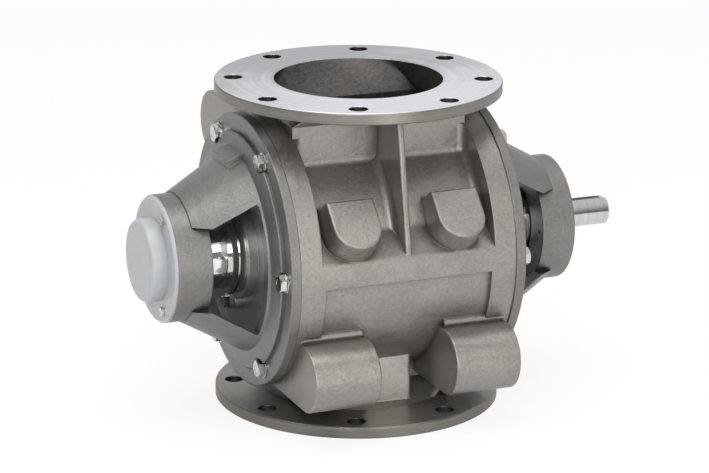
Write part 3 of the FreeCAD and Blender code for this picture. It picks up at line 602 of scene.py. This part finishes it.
@dataclass(frozen=True)
class SharedMaterials:
    """Materials that more than one sub-assembly uses."""

    polished: bpy.types.Material
    turned: bpy.types.Material
    gland: bpy.types.Material
    bearing: bpy.types.Material
    cage: bpy.types.Material
    fastener: bpy.types.Material
    rubber: bpy.types.Material
    packing: bpy.types.Material
    spring: bpy.types.Material

    @classmethod
    def make(cls) -> "SharedMaterials":
        """Make them all.

        Returns:
            The materials.
        """
        return cls(
            polished=material("polished_sleeve", SLEEVE_POLISH),
            turned=material("turned_steel", SEAT_FACE),
            gland=material("polished_gland", GLAND_POLISH),
            bearing=material("bearing_steel_ground", SHAFT_GROUND),
            cage=material("cage_sheet", CAGE_SHEET),
            fastener=material("bright_fastener", FASTENER),
            rubber=material("nitrile_rubber", SEAL_RUBBER),
            packing=material("braided_packing", PACKING),
            spring=material("black_spring_steel", SPRING_BLACK),
        )


def dress(names: Iterable[str], finish: bpy.types.Material) -> None:
    """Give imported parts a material.

    Args:
        names: the parts' names.
        finish: their material.
    """
    for name in names:
        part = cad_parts[name]
        part.data.materials.clear()
        part.data.materials.append(finish)
        log.info("dressed %s in %s", name, finish.name)


# Sub-assemblies


@dataclass
class Housing:
    """The body casting: cast outside, with painted light on the walls between the bosses and painted shade
    darkening the product passage, turned flanges and rotor bore.
    """

    flange_rim: Limit = Limit(0.1684, 0.0006)
    flange_back: Limit = Limit(0.180, 0.0005)
    flange_face: Limit = Limit(0.1946, 0.0002)
    bolt_circle: float = 0.1475
    bolt_count: int = 8
    bolt_hole: Limit = Limit(0.0116, 0.0002)
    bore: Limit = Limit(0.1176, 0.0003)
    neck_top: float = 0.160
    flare_slope: float = 1.35
    passage_start: Limit = Limit(0.1165, 0.001)
    passage_width: Limit = Limit(0.0595, 0.001)
    passage_length: Limit = Limit(0.1035, 0.001)
    web_length: Limit = Limit(0.0305, 0.0004)
    web_depth: Limit = Limit(0.0975, 0.0004)
    web_foot: Limit = Limit(0.097, 0.01)
    web_side: Limit = Limit(0.0, 0.0001)
    edge_rounding: float = 0.0017

    def dress(self) -> None:
        """Give the casting one material whose regions follow its machined faces."""
        made = bpy.data.materials.new("blasted_body_casting")
        graph = Graph(made)
        x, y, z = graph.coordinates()
        rotor = graph.hypotenuse(y, z)
        height = z.magnitude()
        flange = height.above(self.flange_back)
        rim = graph.hypotenuse(x, y).above(self.flange_rim) * flange

        look = HOUSING_CAST.look(graph)
        # Painted light: the walls between the bosses are lightened
        look = graph.blend(self._web(graph, x, y, z), look, WEB_PAINTED_LIGHT.look(graph))
        # Painted shade: the product passage walls are darkened
        look = graph.blend(self._passage(graph, x, y, z), look, THROAT_PAINTED_SHADE.look(graph))
        look = graph.blend(rotor.below(self.bore), look, BORE_FACE.look(graph))
        look = graph.blend(rim, look, FLANGE_RIM.look(graph))
        look = graph.blend(self._holes(graph, x, y) * flange, look, HOLE_WALL.look(graph))
        look = graph.blend(height.above(self.flange_face), look, FLANGE_FACE.look(graph))
        graph.finish(look, self.edge_rounding)
        dress(["housing"], made)

    def _web(self, graph: Graph, x: Field, y: Field, z: Field) -> Field:
        """Mark the thick walls that stand between the bosses, which get a paler painted-light casting in
        their shaded recess.

        Args:
            graph: the material's node tree.
            x: distance along the rotor axis.
            y: distance behind the rotor axis.
            z: height above the rotor axis.

        Returns:
            1 on those walls, 0 elsewhere.
        """
        block = x.magnitude().below(self.web_length) * y.magnitude().below(self.web_depth)
        return block * graph.hypotenuse(y, z).above(self.web_foot) * (y * z).above(self.web_side)

    def _passage(self, graph: Graph, x: Field, y: Field, z: Field) -> Field:
        """Mark the walls of the product passage, which widens above the neck and gets painted shade.

        Args:
            graph: the material's node tree.
            x: distance along the rotor axis.
            y: distance behind the rotor axis.
            z: height above the rotor axis.

        Returns:
            1 on the passage walls, 0 outside the casting.
        """
        widening = graph.math("MAXIMUM", z.magnitude() - self.neck_top, 0.0) * self.flare_slope
        wide = (y.magnitude() - widening).below(self.passage_width)
        long = x.magnitude().below(self.passage_length)
        return wide * long * graph.hypotenuse(y, z).above(self.passage_start)

    def _holes(self, graph: Graph, x: Field, y: Field) -> Field:
        """Mark the flange bolt holes.

        Args:
            graph: the material's node tree.
            x: distance along the rotor axis.
            y: distance behind the rotor axis.

        Returns:
            1 on and inside the walls of the holes, 0 elsewhere.
        """
        step = 2 * math.pi / self.bolt_count
        turn = graph.math("ARCTAN2", y, x) + 4 * math.pi
        within = graph.math("MODULO", turn, step) - step / 2
        spread = graph.hypotenuse(x, y)
        across = spread * graph.math("SINE", within)
        outward = spread * graph.math("COSINE", within) - self.bolt_circle
        return graph.hypotenuse(across, outward).below(self.bolt_hole)


@dataclass
class EndCover:
    """One end cover: cast pedestal, paler inside by painted light, with machined joint, seal box and bearing
    seat.
    """

    end: End
    joint: Limit = Limit(0.1353, 0.0002)
    nose: Limit = Limit(0.2517, 0.0002)
    seal_bore: Limit = Limit(0.0506, 0.0003)
    seal_end: Limit = Limit(0.160, 0.001)
    seat_bore: Limit = Limit(0.0431, 0.0003)
    seat_start: Limit = Limit(0.199, 0.001)
    chamber_start: Limit = Limit(0.146, 0.0004)
    chamber_end: Limit = Limit(0.211, 0.0004)
    chamber_wall: Limit = Limit(0.1125, 0.0004)
    cone_start: float = 0.147
    cone_slope: float = 0.62
    edge_rounding: float = 0.0018

    def dress(self) -> None:
        """Give the cover one material whose regions follow its machined faces."""
        made = bpy.data.materials.new(self.end.prefix + "_blasted_cover_casting")
        graph = Graph(made)
        x, y, z = graph.coordinates()
        length = x.magnitude()
        rotor = graph.hypotenuse(y, z)
        look = COVER_CAST.look(graph)

        # Painted light: the chamber inside the pedestal is lightened
        inside = (rotor + (length - self.cone_start) * self.cone_slope).below(self.chamber_wall)
        chamber = inside * length.above(self.chamber_start) * length.below(self.chamber_end)
        look = graph.blend(chamber, look, CHAMBER_PAINTED_LIGHT.look(graph))

        seat = rotor.below(self.seat_bore) * length.above(self.seat_start)
        throat = rotor.below(self.seal_bore) * length.below(self.seal_end)
        bores = graph.math("MAXIMUM", seat, throat)
        faces = graph.math("MAXIMUM", length.above(self.nose), length.below(self.joint))
        look = graph.blend(graph.math("MAXIMUM", bores, faces), look, SEAT_FACE.look(graph))
        graph.finish(look, self.edge_rounding)
        dress([self.end.prefix + "_end_cover"], made)


@dataclass
class HexScrews:
    """A ring of hexagon screws with bevelled heads, in place of their plain solids."""

    node: str
    seat: float
    outward: int
    circle: float
    count: int
    start: float
    shank: float
    across: float
    head: float
    grip: float
    body: str = "root"
    washer: float = 0.0
    washer_height: float = 0.0
    steps: int = 72
    turn_step: float = 0.37
    tip_bevel: float = 0.0006
    edge: float = 0.0003
    foot_share: float = 0.95
    foot_height: float = 0.0004
    crown_share: float = 0.93
    crown_angle: float = 30.0
    dish_share: float = 0.62
    dish_run: float = 0.0004
    sharp_angle: float = 24.0

    def build(self, finish: bpy.types.Material) -> None:
        """Make the screws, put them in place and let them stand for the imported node.

        Args:
            finish: the screws' material.
        """
        mesh = bpy.data.meshes.new(self.node + "_detailed")
        shape = bmesh.new()
        for number in range(self.count):
            angle = math.radians(self.start + 360.0 / self.count * number)
            across = self.outward * self.circle * math.cos(angle)
            up = AXIS_HEIGHT + self.circle * math.sin(angle)
            self._add_screw(shape, Vector((self.outward * self.seat, across, up)), self.turn_step * number)
        bmesh.ops.recalc_face_normals(shape, faces=shape.faces)
        shape.to_mesh(mesh)
        shape.free()
        mesh.set_sharp_from_angle(angle=math.radians(self.sharp_angle))
        mesh.materials.append(finish)
        piece = bpy.data.objects.new(self.node + "_detailed", mesh)
        bpy.context.scene.collection.objects.link(piece)
        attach(piece, self.body)
        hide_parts(self.node)
        log.info("built %d screws for %s", self.count, self.node)

    def _add_screw(self, shape: bmesh.types.BMesh, at: Vector, turn: float) -> None:
        """Add one screw: shank, washer and bevelled head.

        Args:
            shape: mesh being built.
            at: point on the screw's axis where it is seated.
            turn: angle of the hexagon's first flat.
        """
        self._lathe(shape, at, turn, [
            (-self.grip, 0.0), (-self.grip, self.shank - self.tip_bevel),
            (self.tip_bevel - self.grip, self.shank), (0.0, self.shank)])
        if self.washer:
            self._lathe(shape, at, turn, [
                (0.0, self.shank), (0.0, self.washer - self.edge), (self.edge, self.washer),
                (self.washer_height - self.edge, self.washer),
                (self.washer_height, self.washer - self.edge), (self.washer_height, self.shank)])
        base = self.washer_height
        top = base + self.head
        crown = self.across * self.crown_share
        dish = self.across * self.dish_share
        self._lathe(shape, at, turn, [
            (base, self.shank), (base, self.across * self.foot_share), (base + self.foot_height, None),
            (top, None), (top, crown), (top, dish),
            (top - self.edge, dish - self.dish_run), (top - self.edge, 0.0)], crown)

    def _lathe(self, shape: bmesh.types.BMesh, at: Vector, turn: float,
               profile: Sequence[tuple[float, Optional[float]]], crown: float = math.inf) -> None:
        """Sweep a profile round an axis along X; a radius of None follows the hexagon.

        Args:
            shape: mesh being built.
            at: foot of the axis.
            turn: angle of the hexagon's first flat.
            profile: pairs of length and radius.
            crown: radius where the head's bevel starts.
        """
        rings = []
        for length, radius in profile:
            ring = []
            for step in range(self.steps):
                angle = 2 * math.pi * step / self.steps
                reach, drop = radius, 0.0
                if radius is None:
                    reach = self.across / math.cos(math.remainder(angle, math.pi / 3))
                    if length > self.head / 2:
                        drop = max(0.0, reach - crown) * math.tan(math.radians(self.crown_angle))
                ring.append(shape.verts.new(at + Vector((
                    self.outward * (length - drop), reach * math.cos(angle + turn),
                    reach * math.sin(angle + turn)))))
            rings.append(ring)
        for first, second in zip(rings, rings[1:]):
            for step in range(self.steps):
                after = (step + 1) % self.steps
                shape.faces.new((first[step], first[after], second[after], second[step]))
        bmesh.ops.remove_doubles(shape, verts=[v for ring in rings for v in ring], dist=WELD_DISTANCE)


@dataclass
class Rotor:
    """Shaft, hub and vanes, with the rippled weld beads that join them."""

    vanes: int = 8
    first: float = 22.5
    hub_radius: float = 0.045
    vane_half: float = 0.003
    half_length: float = 0.12665
    bead: float = 0.0034
    bead_inset: float = 0.001
    bead_sink: float = 0.0004
    bead_root: float = 0.0015
    bead_fullness: float = 1.4
    ripples: int = 180
    ripple_share: float = 0.07
    ripple_pace: float = 2.1
    swell_share: float = 0.04
    swell_pace: float = 0.37
    arc: int = 7

    def dress(self) -> None:
        """Finish the shaft, hub and vanes."""
        dress(["rotor_shaft"], material("ground_shaft", SHAFT_GROUND))
        vanes = ["rotor_vane_%d" % (number + 1) for number in range(self.vanes)]
        dress(["rotor_hub"] + vanes, material("rotor_plate", ROTOR_WORK))

    def build(self) -> None:
        """Lay a rippled weld bead along both sides of each vane's foot."""
        shape = bmesh.new()
        for number in range(self.vanes):
            turn = math.radians(self.first + 360 / self.vanes * number)
            for side in (-1, 1):
                self._add_bead(shape, turn, side)
        mesh = bpy.data.meshes.new("rotor_welds")
        bmesh.ops.recalc_face_normals(shape, faces=shape.faces)
        shape.to_mesh(mesh)
        shape.free()
        mesh.shade_smooth()
        mesh.materials.append(material("weld_bead", WELD))
        piece = bpy.data.objects.new("rotor_welds", mesh)
        bpy.context.scene.collection.objects.link(piece)
        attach(piece, "rotor")
        log.info("built %d weld beads", 2 * self.vanes)

    def _add_bead(self, shape: bmesh.types.BMesh, turn: float, side: int) -> None:
        """Add one bead in the corner between a vane and the hub.

        Args:
            shape: mesh being built.
            turn: the vane's angle about the rotor axis.
            side: 1 or -1, the face of the vane that the bead runs along.
        """
        run = self.half_length - self.bead_inset
        foot = math.sqrt(self.hub_radius ** 2 - self.vane_half ** 2) - self.bead_sink
        root = self.hub_radius - self.bead_root
        rings = []
        for step in range(self.ripples + 1):
            along = -run + 2 * run * step / self.ripples
            ripple = self.ripple_share * math.sin(step * self.ripple_pace)
            swell = self.swell_share * math.sin(step * self.swell_pace + turn)
            size = self.bead * (1 + ripple + swell)
            ring = []
            for part in range(self.arc):
                swing = math.pi / 2 * part / (self.arc - 1)
                out = self.vane_half - self.bead_sink + size * math.cos(swing) ** self.bead_fullness
                up = foot + size * math.sin(swing) ** self.bead_fullness
                ring.append(self._turned(along, side * out, up, turn))
            ring.append(self._turned(along, side * (self.vane_half - self.bead_inset), root, turn))
            rings.append([shape.verts.new(point) for point in ring])
        count = self.arc + 1
        for first, second in zip(rings, rings[1:]):
            for part in range(count):
                after = (part + 1) % count
                shape.faces.new((first[part], first[after], second[after], second[part]))
        shape.faces.new(rings[0])
        shape.faces.new(rings[-1][::-1])

    @staticmethod
    def _turned(along: float, across: float, up: float, turn: float) -> Vector:
        """Return a point of the upright vane, turned with the rotor."""
        spun = Matrix.Rotation(turn, 3, "X") @ Vector((along, across, up))
        return spun + Vector((0.0, 0.0, AXIS_HEIGHT))


@dataclass
class ShaftEnd:
    """Seals, bearing and fasteners at one end of the shaft."""

    end: End

    def dress(self, shared: SharedMaterials) -> None:
        """Finish every small part of this end.

        Args:
            shared: the materials to use.
        """
        prefix = self.end.prefix + "_"
        dress([prefix + "shaft_sleeve"], shared.polished)
        dress([prefix + "gland"], shared.gland)
        dress([prefix + "slotted_collar"], shared.turned)
        dress([prefix + "bearing_" + part for part in ("inner_ring", "outer_ring", "balls")], shared.bearing)
        dress([prefix + "bearing_cage"], shared.cage)
        dress([prefix + "sleeve_screw", prefix + "gland_screws", prefix + "cover_bolts"], shared.fastener)
        dress([prefix + "cover_seal"], shared.rubber)
        dress([prefix + "gland_packing"], shared.packing)

    def build(self, shared: SharedMaterials) -> None:
        """Build the detailed cover bolts and gland screws.

        Args:
            shared: the materials to use.
        """
        prefix = self.end.prefix + "_"
        HexScrews(node=prefix + "cover_bolts", seat=0.147, outward=self.end.value, circle=0.144, count=6,
                  start=0.0, shank=0.006, across=0.0095, head=0.0075, grip=0.022, washer=0.012,
                  washer_height=0.0024).build(shared.fastener)
        HexScrews(node=prefix + "gland_screws", seat=0.166, outward=self.end.value, circle=0.062, count=2,
                  start=90.0, shank=0.004, across=0.0065, head=0.0053, grip=0.012).build(shared.fastener)


@dataclass
class BearingCap:
    """Pale moulded cap over the free end, with its three screws."""

    glow_share: float = 0.25
    glow_depth: float = 0.006

    def dress(self, shared: SharedMaterials) -> None:
        """Finish the cap and what it hides.

        Args:
            shared: the materials to use.
        """
        moulding = material("cap_moulding", CAP_PLASTIC, Subsurface_Weight=self.glow_share,
                            Subsurface_Scale=self.glow_depth)
        dress(["free_bearing_cap"], moulding)
        dress(["free_cap_screws"], shared.fastener)
        dress(["free_end_nut"], shared.turned)

    def build(self, shared: SharedMaterials) -> None:
        """Build the cap's detailed screws."""
        HexScrews(node="free_cap_screws", seat=0.256, outward=End.FREE.value, circle=0.063, count=3,
                  start=60.0, shank=0.003, across=0.005, head=0.004, grip=0.014).build(shared.fastener)


@dataclass
class DriveClosure:
    """What closes the drive end's bearing housing round the shaft."""

    def dress(self, shared: SharedMaterials) -> None:
        """Finish the retaining rings, the closing ring and the lip seal.

        Args:
            shared: the materials to use.
        """
        dress(["drive_inner_circlip", "drive_outer_circlip", "drive_closer_circlip"], shared.spring)
        dress(["drive_bearing_closer"], shared.turned)
        dress(["drive_lip_seal"], shared.rubber)


# Studio


@dataclass(frozen=True)
class Softbox:
    """One square studio lamp aimed at the object."""

    name: str
    place: tuple[float, float, float]
    size: float
    power: float
    colour: Colour = (1.0, 1.0, 1.0)

    def light(self, aim: Vector) -> None:
        """Put the lamp in the scene.

        Args:
            aim: point that it faces.
        """
        lamp = bpy.data.lights.new(self.name, "AREA")
        lamp.shape = "SQUARE"
        lamp.size = self.size
        lamp.energy = self.power
        lamp.color = self.colour
        holder = bpy.data.objects.new(self.name, lamp)
        holder.location = Vector(self.place)
        holder.rotation_mode = "QUATERNION"
        holder.rotation_quaternion = (aim - holder.location).to_track_quat("-Z", "Y")
        bpy.context.scene.collection.objects.link(holder)


@dataclass
class Studio:
    """Camera, pale floor, white surround and soft lamps."""

    azimuth: float = -22.58
    elevation: float = 16.62
    roll: float = 0.42
    distance: float = 3.944
    aside: float = -0.0032
    lens: float = 167.7
    sensor: float = 36.0
    overhead_glow: float = 0.6
    overhead_range: tuple[float, float] = (0.1, 0.9)
    backdrop_glow: float = 0.62
    backdrop_range: tuple[float, float] = (0.25, 0.85)
    room_glow: float = 0.2
    floor_half: float = 30.0
    floor_light: Colour = (0.84, 0.84, 0.84)
    floor_dark: Colour = (0.80, 0.80, 0.80)
    floor_cloud: float = 0.4
    floor_glow: float = 0.35
    floor_seen: float = 0.86
    white: Colour = (1.0, 1.0, 1.0)
    lamps: tuple[Softbox, ...] = (
        Softbox("overhead_softbox", (-0.4, -0.3, 3.2), 2.4, 60.0),
        Softbox("left_softbox", (-2.0, -3.3, 1.8), 1.8, 62.0, (0.97, 0.985, 1.0)),
        Softbox("front_softbox", (0.9, -3.6, 2.2), 1.6, 18.0, (1.0, 0.985, 0.96)),
        Softbox("low_softbox", (0.2, -3.2, 0.35), 1.0, 18.0),
        Softbox("right_softbox", (3.2, -0.6, 1.4), 1.2, 8.0),
    )

    def build(self) -> None:
        """Set up the whole studio."""
        bpy.context.scene.view_settings.view_transform = "Standard"
        self._camera()
        self._floor()
        self._surround()
        for lamp in self.lamps:
            lamp.light(Vector((0.0, 0.0, AXIS_HEIGHT)))
        log.info("studio ready with %d lamps", len(self.lamps))

    def _camera(self) -> None:
        """Place the camera at the photograph's viewing angle."""
        azimuth, elevation = math.radians(self.azimuth), math.radians(self.elevation)
        level = math.cos(elevation)
        back = Vector((math.sin(azimuth) * level, -math.cos(azimuth) * level, math.sin(elevation)))
        right = Vector((math.cos(azimuth), math.sin(azimuth), 0.0))
        tilt = Matrix.Rotation(math.radians(self.roll), 3, "Z").to_quaternion()
        camera = bpy.data.cameras.new("camera")
        camera.lens = self.lens
        camera.sensor_width = self.sensor
        holder = bpy.data.objects.new("camera", camera)
        holder.location = right * self.aside + Vector((0.0, 0.0, AXIS_HEIGHT)) + back * self.distance
        holder.rotation_mode = "QUATERNION"
        holder.rotation_quaternion = (-back).to_track_quat("-Z", "Y") @ tilt
        bpy.context.scene.collection.objects.link(holder)
        bpy.context.scene.camera = holder

    def _floor(self) -> None:
        """Lay a pale floor that keeps a faint shadow of the object."""
        shape = bmesh.new()
        bmesh.ops.create_grid(shape, x_segments=1, y_segments=1, size=self.floor_half)
        mesh = bpy.data.meshes.new("floor")
        shape.to_mesh(mesh)
        shape.free()
        made = bpy.data.materials.new("pale_floor")
        graph = Graph(made)
        tone = graph.mix(graph.noise(self.floor_cloud), self.floor_dark, self.floor_light)
        matt = graph.node("ShaderNodeBsdfDiffuse", None, {"Color": tone})
        glow = graph.node("ShaderNodeEmission", None, {"Color": self.white, "Strength": 1.0})
        share = self.floor_glow + self._seen(graph) * (self.floor_seen - self.floor_glow)
        mixed = graph.node("ShaderNodeMixShader", None, {0: share, 1: matt.outputs[0], 2: glow.outputs[0]})
        graph.node("ShaderNodeOutputMaterial", None, {"Surface": mixed.outputs[0]})
        mesh.materials.append(made)
        floor = bpy.data.objects.new("floor", mesh)
        bpy.context.scene.collection.objects.link(floor)

    def _surround(self) -> None:
        """Make the world white where it is seen and softer where it lights."""
        world = bpy.data.worlds.new("surround")
        bpy.context.scene.world = world
        graph = Graph(world)
        ray = graph.node("ShaderNodeTexCoord").outputs["Generated"]
        split = graph.node("ShaderNodeSeparateXYZ", None, {0: ray})
        x, y, z = (Field(graph, output) for output in split.outputs)
        turn = math.radians(self.azimuth)
        behind = (y * math.cos(turn) - x * math.sin(turn)).ramp(*self.backdrop_range) * self.backdrop_glow
        above = z.ramp(*self.overhead_range) * self.overhead_glow
        glow = self.room_glow + graph.math("MAXIMUM", above, behind)
        seen = self._seen(graph)
        strength = seen + (1 - seen) * glow
        sky = graph.node("ShaderNodeBackground", None, {"Color": self.white, "Strength": strength})
        graph.node("ShaderNodeOutputWorld", None, {"Surface": sky.outputs[0]})

    @staticmethod
    def _seen(graph: Graph) -> Field:
        """Return 1 for rays that come straight from the camera."""
        return Field(graph, graph.node("ShaderNodeLightPath").outputs["Is Camera Ray"])


def main() -> None:
    """Build and dress the valve, then the studio."""
    logging.basicConfig(level=logging.INFO, format="%(name)s: %(message)s")
    shared = SharedMaterials.make()
    Housing().dress()
    for end in End:
        EndCover(end).dress()
        shaft_end = ShaftEnd(end)
        shaft_end.dress(shared)
        shaft_end.build(shared)
    cap = BearingCap()
    cap.dress(shared)
    cap.build(shared)
    DriveClosure().dress(shared)
    rotor = Rotor()
    rotor.dress()
    rotor.build()
    Studio().build()


if __name__ == "__main__":
    main()
